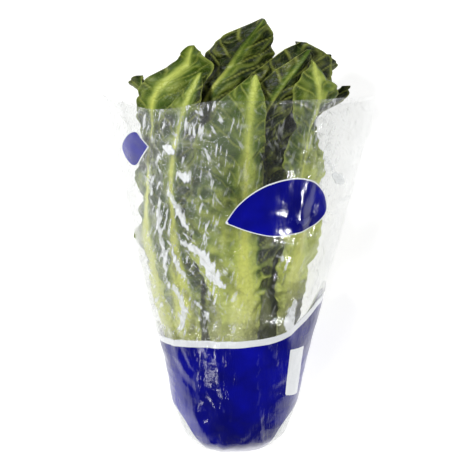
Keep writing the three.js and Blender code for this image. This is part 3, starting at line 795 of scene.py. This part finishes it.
# Sharp folds where glare is painted as whitened film: points, half width and strength
GLARE_FOLDS = [
    ([(-36.6, 174), (-24, 168), (-17.9, 158), (-14, 148), (-8.2, 143)], 3.6, 1.0),
    ([(-17, 156), (-15, 138), (-14, 131)], 1.2, 0.7),
    ([(-46.1, 209.5), (-39, 200), (-36, 190), (-31, 183)], 2.2, 0.8),
    ([(-39, 223), (-33, 219)], 2.8, 0.9),
    ([(-49, 238), (-42, 234)], 2.6, 0.95),
    ([(-48.9, 236), (-55.9, 225.5)], 1.1, 0.7),
    ([(-51, 208), (-53, 186), (-49, 160), (-46, 136)], 1.5, 0.7),
    ([(-60, 224), (-57, 205)], 1.2, 0.5),
    ([(-44, 168), (-40, 155), (-35, 148)], 1.6, 0.7),
    ([(-42, 140), (-37, 122), (-39, 104)], 1.9, 0.75),
    ([(-30, 130), (-22, 122), (-18, 108)], 1.3, 0.6),
    ([(56.7, 230.5), (66.6, 221)], 1.6, 0.85),
    ([(67, 216.5), (75.2, 209)], 3.0, 0.8),
    ([(38, 193), (45, 188), (51, 191)], 1.5, 0.7),
    ([(36, 192), (35.5, 176)], 0.7, 0.5),
    ([(27, 166), (34, 160), (31, 152)], 1.1, 0.6),
    ([(41, 126), (37, 110), (38, 100)], 3.2, 0.9),
    ([(15.5, 87.5), (17, 40), (18.7, -14)], 0.8, 0.3),
    ([(23.5, 93.5), (28.8, 77)], 0.9, 0.4),
    ([(-16.8, 95), (-14.1, 78), (-8.4, 32.5)], 0.9, 0.4),
    ([(-39.8, 90.5), (-29.7, 70), (-27, 40)], 1.2, 0.5),
]

# Print on the front, in millimetres across and from the cut stem
BAND_TOP = [(-60, 82), (-52, 85.5), (-28, 92), (10, 94.5), (32, 96), (50, 106), (60, 114)]
BAND_BOTTOM = [(-46, 30), (-38, 20), (-21, -6), (-5, -18), (13, -20), (22, -6), (34, 18), (46, 30)]
LABEL_OUTLINE = [
    (-8.1, 191.5), (0.9, 205), (12.5, 213.5), (24.1, 217.5), (38.6, 219.5), (50.7, 217.5), (58.1, 212),
    (62.6, 204), (63.3, 192), (53.9, 183.5), (39.4, 180.4), (24.6, 181), (6.5, 186),
]
BADGE_OUTLINE = [
    (-60.7, 236.5), (-65.8, 241), (-70.2, 245), (-76, 242.5), (-81, 236), (-83, 229.5), (-80.6, 223.5),
    (-75.2, 220), (-70.3, 221.5), (-66.1, 228.5),
]
PANEL_OUTLINE = [(36.3, 47), (46, 41), (50, 84), (39.4, 86)]


def round_outline(points, steps=8):
    """A closed curve through the points, with a sharp corner at the first one."""
    ring = [np.array(p, float) for p in points]
    last = len(ring) - 1
    curve = []
    for k, here in enumerate(ring):
        following = ring[0] if k == last else ring[k + 1]
        before = here if k == 0 else ring[k - 1]
        after = following if k == last else ring[(k + 2) % len(ring)]
        for s in np.arange(steps) / steps:
            curve.append(0.5 * (
                2 * here + (following - before) * s
                + (2 * before - 5 * here + 4 * following - after) * s**2
                + (3 * here - before - 3 * following + after) * s**3
            ))
    return np.array(curve)


def stretch_distance(a, b, x, y):
    """Distance to the straight stretch from a to b, and how far along it the nearest place is."""
    run = b - a
    t = np.clip(((x - a[0]) * run[0] + (y - a[1]) * run[1]) / (run @ run), 0, 1)
    return np.hypot(x - a[0] - t * run[0], y - a[1] - t * run[1]), t


def inside_distance(outline, x, y):
    """Distance to a closed outline, positive inside it."""
    nearest = np.full(x.shape, np.inf)
    crossings = np.zeros(x.shape, int)
    for a, b in zip(outline, np.roll(outline, -1, axis=0)):
        nearest = np.minimum(nearest, stretch_distance(a, b, x, y)[0])
        spans = (a[1] > y) != (b[1] > y)
        slope = (b[0] - a[0]) / (b[1] - a[1]) if b[1] != a[1] else 0
        crossings += spans & (x < a[0] + (y - a[1]) * slope)
    return np.where(crossings % 2 == 1, nearest, -nearest)


def sleeve_points(y, angle, inset, lift):
    """The film's surface. lift is how far its creases stand out."""
    half = along(SLEEVE_HALF_WIDTH, y) - 2.2 * inset + lift
    seam = along(SEAM_HEIGHT, y)
    rise = along(SLEEVE_TOP, y) - seam - inset + lift
    fall = seam - inset + np.minimum(0, lift)
    pinch = 0.8 + 0.4 * smooth(90, SLEEVE_MOUTH, y)
    near_mouth = smooth(SLEEVE_MOUTH - 60, SLEEVE_MOUTH, y)
    up = np.sin(angle)
    share = np.maximum(1e-9, np.abs(up)) ** pinch
    z = np.where(up >= 0, seam + rise * share, seam - fall * np.minimum(1, 1.12 * share))
    x = along(SLEEVE_CENTRE, y) + half * np.cos(angle)
    dip = MOUTH_DIP * smooth(-12, -60, x) * np.maximum(0, up)
    return np.stack([x, y + (MOUTH_RISE * up - dip) * near_mouth - ORIGIN_Y, z], axis=-1)


def ridges(across, y, heading, spacing, wander, seed):
    """Straight folds at a heading in degrees, with flat facets between them, from 0 to 1 at the ridge."""
    c, d = math.cos(heading * DEG), math.sin(heading * DEG)
    run = (across * c + y * d) / spacing + wander * noise(across / 31 + seed, y / 43, seed)
    fraction = run - np.floor(run)
    strength = np.clip(0.5 + 1.2 * noise((across + 40) / 23, y / 37, seed + 1), 0, 1)
    return (1 - 2 * np.minimum(fraction, 1 - fraction)) * strength


# Height in millimetres, then heading, spacing, wander and seed
CREASES = [
    (1.5, (-14, 31, 0.9, 11)), (1.1, (22, 24, 0.9, 13)), (0.8, (-48, 29, 0.7, 15)), (0.6, (66, 34, 0.8, 17)),
    (0.35, (4, 9, 0.6, 19)),
]


def film_creases(across, y):
    """How far the crumpled film stands out, in millimetres, and how much its fold ridges whiten it, which is
    partly painted glare.
    """
    folds = [(height, ridges(across, y, *course)) for height, course in CREASES]
    lift = sum(height * fold for height, fold in folds)
    crease_glare = sum(np.clip((fold - 0.96) / 0.08, 0, 1) for _, fold in folds)
    return lift + 0.8 * noise(across / 24, y / 60, 21), np.clip(crease_glare, 0, 1)


def path_distance(path, x, y):
    """Distance to a line through the points, and how far along it the nearest place is, from 0 to 1."""
    nearest = np.full(x.shape, np.inf)
    fraction = 0 * x
    points = np.array(path, float)
    for k, (a, b) in enumerate(zip(points[:-1], points[1:])):
        here, t = stretch_distance(a, b, x, y)
        fraction = np.where(here < nearest, (k + t) / (len(points) - 1), fraction)
        nearest = np.minimum(nearest, here)
    return nearest, fraction


def glare_folds(x, y):
    """How far the named sharp folds stand out, how far inside one a point is, and how white it is there, the
    white being painted glare.
    """
    rise, inside, white = 0 * x, 0 * x + OUTSIDE, 0 * x
    wandering = 1.1 * noise(x / 5, y / 5, 23)
    for path, half_width, strength in GLARE_FOLDS:
        near, fraction = path_distance(path, x + wandering, y)
        width = half_width * (0.4 + 0.6 * np.sin(math.pi * fraction) ** 0.7)
        rise = np.maximum(rise, strength * np.exp(-((near / (1.3 * half_width)) ** 2)))
        white = np.where(width - near > inside, strength, white)
        inside = np.maximum(inside, width - near)
    return rise, inside, white


def crumpled_part(x, y):
    """Where the film is finely crumpled: over the left leaves, and a little at the mouth's right."""
    share = np.abs(x - along(SLEEVE_CENTRE, y)) / along(SLEEVE_HALF_WIDTH, y)
    wing = smooth(0.62, 0.8, share) * smooth(120, 190, y)
    left = smooth(4, -22, x + 9 * noise(x / 30, y / 30, 25)) * smooth(84, 112, y)
    right = smooth(36, 60, x + 8 * noise(x / 26, y / 30, 26)) * smooth(165, 200, y)
    crumple = 0.12 + 0.88 * np.maximum(left, 0.4 * right)
    return crumple * (1 - 0.8 * wing) * smooth(80, 100, y)


def make_sleeve():
    """The film: an outer and an inner skin of rings, joined at the mouth, each closed at the base."""
    t = np.linspace(0, 1, SLEEVE_RINGS)[:, None] ** RINGS_TO_BASE
    angle = np.arange(SLEEVE_SIDES)[None, :] / SLEEVE_SIDES * 2 * math.pi + 0 * t
    outer_y = SLEEVE_END + (SLEEVE_MOUTH - SLEEVE_END) * t + 0 * angle
    inner_y = SLEEVE_END + 1 + (SLEEVE_MOUTH - SLEEVE_END - 1) * t + 0 * angle
    x = sleeve_points(outer_y, angle, MEAN_LIFT, 0)[..., 0]
    at_back = np.sin(angle) < 0
    behind = smooth(0, 0.45, -np.sin(angle))

    lift, crease_glare = film_creases(x + BACK_ACROSS * at_back, outer_y)
    # the folds stand out in relief, and their whiteness is painted glare
    rise, fold, glare_whiteness = glare_folds(x, outer_y)
    crumple = crumpled_part(x, outer_y)
    rumple = ridges(x, outer_y, 12, 7, 1.4, 27) + ridges(x, outer_y, -50, 9, 1.2, 29)
    lift = lift + np.where(at_back, 0, rise + 0.5 * crumple * rumple)
    calm = smooth(SLEEVE_END, SLEEVE_END + 14, outer_y) * np.where(at_back, BACK_CALM, 1.0)
    lift = lift * calm - MEAN_LIFT
    outer = sleeve_points(outer_y, angle, 0, lift)
    inner = sleeve_points(inner_y, angle, FILM, lift)
    rings = np.concatenate([outer, inner[::-1]])
    rows, columns = rings.shape[:2]
    faces = ring_faces(rows, columns)
    faces.append(list(range(columns)))
    faces.append(list(range(rows * columns - 1, (rows - 1) * columns - 1, -1)))

    x = rings[..., 0]
    y = np.concatenate([outer_y, inner_y[::-1]])
    both_skins = lambda field: np.concatenate([field, field[::-1]])
    front = both_skins(np.sin(angle)) > 0
    label = inside_distance(round_outline(LABEL_OUTLINE), x, y)
    badge = inside_distance(round_outline(BADGE_OUTLINE), x, y)
    panel = inside_distance(np.array(PANEL_OUTLINE, float), x, y)
    looks = {
        "high": along(BAND_TOP, x) - both_skins(behind) * BACK_BAND_DROP - y,
        "low": y - along(BAND_BOTTOM, x) - both_skins(behind) * BACK_BAND_RISE,
        "patch": np.where(front, np.maximum(label, badge), OUTSIDE),
        "panel": np.where(front, panel, OUTSIDE),
        "crease_glare": both_skins(crease_glare),
        "crumple": both_skins(crumple),
        "fold": both_skins(np.where(at_back, OUTSIDE, fold)),
        "glare_whiteness": both_skins(glare_whiteness),
    }
    flat = np.stack([x + BACK_FLAT_ACROSS * ~front, y], axis=-1).reshape(-1, 2)
    return new_piece("sleeve_film", rings.reshape(-1, 3), faces, looks, flat)


# Stem and heart

def turned_solid(radius_at, start, end, rows, sides):
    """A solid of revolution about the stem, a little uneven, closed by a point at each end."""
    y = np.linspace(start, end, rows)[:, None] + np.zeros((1, sides))
    angle = np.arange(sides)[None, :] / sides * 2 * math.pi + 0 * y
    uneven = 1 + 0.04 * noise(np.cos(angle) * 3 + 9, y / 8, 31)
    body = place(radius_at(y) * uneven, angle, y).reshape(-1, 3)
    ends = np.array([place(0.0, 0.0, start), place(0.0, 0.0, end)])
    faces = ring_faces(rows, sides)
    last = (rows - 1) * sides
    for i in range(sides):
        following = (i + 1) % sides
        faces.append([rows * sides, i, following])
        faces.append([rows * sides + 1, last + following, last + i])
    return np.concatenate([body, ends]), faces


CUT_DEPTH = 1.5  # how far the browning of the cut goes round its edge
BUD_GAP = 0.4  # between core and bud
BUD_LOOKS = {"rib": 0.2, "depth": 0.05, "base": 0.6}  # the others are 0


def make_core():
    points, faces = turned_solid(core_radius, 0, CORE_LENGTH, 40, 64)
    cut = np.clip(1 - (points[:, 1] + ORIGIN_Y) / CUT_DEPTH, 0, 1)
    return new_piece("core_stem", points, faces, {"cut": cut}, smooth_ends=False)


def make_heart(leaves):
    """The bud and the leaves wrapped round it, in one piece."""
    bud_points, faces = turned_solid(bud_radius, CORE_LENGTH + BUD_GAP, BUD_TIP, 60, 40)
    points = [bud_points]
    flats = [bud_points[:, :2]]
    surfaces = [leaf_surface(leaf, *HEART_GRID, HEART_SEED + k, 0.5) for k, leaf in enumerate(leaves)]
    looks = {key: [np.full(len(bud_points), BUD_LOOKS.get(key, 0.0))] for key in surfaces[0][1]}
    offset = len(bud_points)
    for leaf_points, leaf_looks, flat in surfaces:
        points.append(leaf_points)
        flats.append(flat)
        faces += (shell_faces(*HEART_GRID) + offset).tolist()
        offset += len(leaf_points)
        for key, values in leaf_looks.items():
            looks[key].append(values)
    joined = {key: np.concatenate(values) for key, values in looks.items()}
    return new_piece("heart_leaves", np.concatenate(points), faces, joined, np.concatenate(flats))


def finish_piece(piece, node, material):
    piece.data.materials.append(material)
    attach(piece, "root")
    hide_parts(node)


# Pale, middle and deep green, the midrib's colour, and the least roughness
HEART_GREEN = (
    linear(220, 224, 150), linear(190, 202, 104), linear(128, 154, 58), linear(232, 234, 196), 0.36,
)
INNER_GREEN = (
    linear(190, 204, 106), linear(116, 142, 52), linear(48, 74, 18), linear(222, 230, 150), 0.36,
)
OUTER_GREEN = (
    linear(226, 238, 116), linear(83, 111, 26), linear(11, 24, 1), linear(244, 250, 122), 0.34,
)


def build_head():
    """Grows the head from its core outwards, each leaf over the pile of those before it."""
    heart_green = leaf_material("heart_green", *HEART_GREEN)
    inner_green = leaf_material("inner_green", *INNER_GREEN)
    outer_green = leaf_material("outer_green", *OUTER_GREEN)
    finish_piece(make_core(), "core", stem_material())
    y = np.arange(ROWS_Y) * STEP_Y
    start = np.where(y <= CORE_LENGTH, core_radius(y), bud_radius(y))
    pile = np.repeat(start[:, None].astype(float), ANGLES, axis=1)
    heart = [Leaf(pile, heart_leaf(k)) for k in range(HEART_COUNT)]
    finish_piece(make_heart(heart), "heart", heart_green)
    for k in range(INNER_COUNT):
        leaf = Leaf(pile, inner_leaf(k))
        piece = leaf_piece(leaf, INNER_GRID, INNER_SEED + SEED_STEP * k, 0.8)
        finish_piece(piece, leaf.name, inner_green)
    for k, facts in enumerate(OUTER_LEAVES):
        leaf = Leaf(pile, outer_leaf(k, facts))
        grid = UNDERNEATH_GRID if leaf.name in UNDERNEATH else OUTER_GRID
        piece = leaf_piece(leaf, grid, OUTER_SEED + SEED_STEP * k, 1.3)
        finish_piece(piece, leaf.name, outer_green)


# Stage, light and camera

FLOOR_SIZE = 8
FLOOR_DROP = 0.0004  # under what rests on it, so that they don't flicker
FLOOR_GLOW = 0.72
WORLD_LIGHT = 0.08
LIGHTS_AIM = Vector((0, 0.02, 0.05))

# Name, place in metres, width and height in metres, and watts
LIGHTS = [
    ("key", (-0.5, 0.55, 1.1), (0.16, 0.16), 9.8),
    ("left_strip", (-0.8, 0.1, 0.55), (0.05, 0.7), 1.6),
    ("right_strip", (0.7, 0.35, 0.8), (0.06, 0.4), 2.2),
    ("low_left", (-0.55, -0.75, 0.8), (0.06, 0.3), 1.5),
    ("low_right", (0.95, -0.4, 0.6), (0.12, 0.12), 4),
]


def make_floor():
    bpy.ops.mesh.primitive_plane_add(size=FLOOR_SIZE, location=(0, 0, -FLOOR_DROP))
    floor = bpy.context.object
    floor.name = "floor"
    n = Nodes("pale_floor")
    where = n.add("ShaderNodeTexCoord").outputs["Object"]
    shade = n.mix(n.noise(where, 3.0, 2), (0.56, 0.56, 0.56, 1), (0.58, 0.58, 0.58, 1))
    skin = n.add("ShaderNodeBsdfPrincipled", {
        "Base Color": shade, "Roughness": 0.9, "Specular IOR Level": 0.1, "Emission Color": (1, 1, 1, 1),
        "Emission Strength": FLOOR_GLOW,
    })
    n.shader_to_end(skin.outputs[0])
    floor.data.materials.append(n.material)


def make_light(name, place_at, size, watts):
    data = bpy.data.lights.new(name, "AREA")
    data.shape = "RECTANGLE"
    data.size, data.size_y = size
    data.energy = watts
    light = bpy.data.objects.new(name, data)
    light.location = place_at
    light.rotation_euler = (LIGHTS_AIM - Vector(place_at)).to_track_quat("-Z", "Y").to_euler()
    bpy.context.scene.collection.objects.link(light)


def make_world():
    world = bpy.data.worlds.new("studio")
    bpy.context.scene.world = world
    world.use_nodes = True
    background = world.node_tree.nodes["Background"]
    background.inputs["Color"].default_value = (1, 1, 1, 1)
    background.inputs["Strength"].default_value = WORLD_LIGHT


CAMERA_TARGET = Vector((0, 0.008, 0.045))
CAMERA_TILT = 17 * DEG
CAMERA_DISTANCE = 0.986


def make_camera():
    """Looks down on the lying head, a little from the side of its tips, with the tips up in the frame."""
    data = bpy.data.cameras.new("camera")
    data.lens, data.sensor_width = 100, 36
    camera = bpy.data.objects.new("camera", data)
    right = Vector((1, 0, 0))
    up = Vector((0, math.cos(CAMERA_TILT), -math.sin(CAMERA_TILT)))
    back = Vector((0, math.sin(CAMERA_TILT), math.cos(CAMERA_TILT)))
    turned = Matrix((right, up, back)).transposed().to_4x4()
    turned.translation = CAMERA_TARGET + back * CAMERA_DISTANCE
    camera.matrix_world = turned
    bpy.context.scene.collection.objects.link(camera)
    bpy.context.scene.camera = camera


make_camera()
build_head()
finish_piece(make_sleeve(), "sleeve", film_material())
make_floor()
make_world()
for light in LIGHTS:
    make_light(*light)
bpy.context.scene.view_settings.view_transform = "Standard"
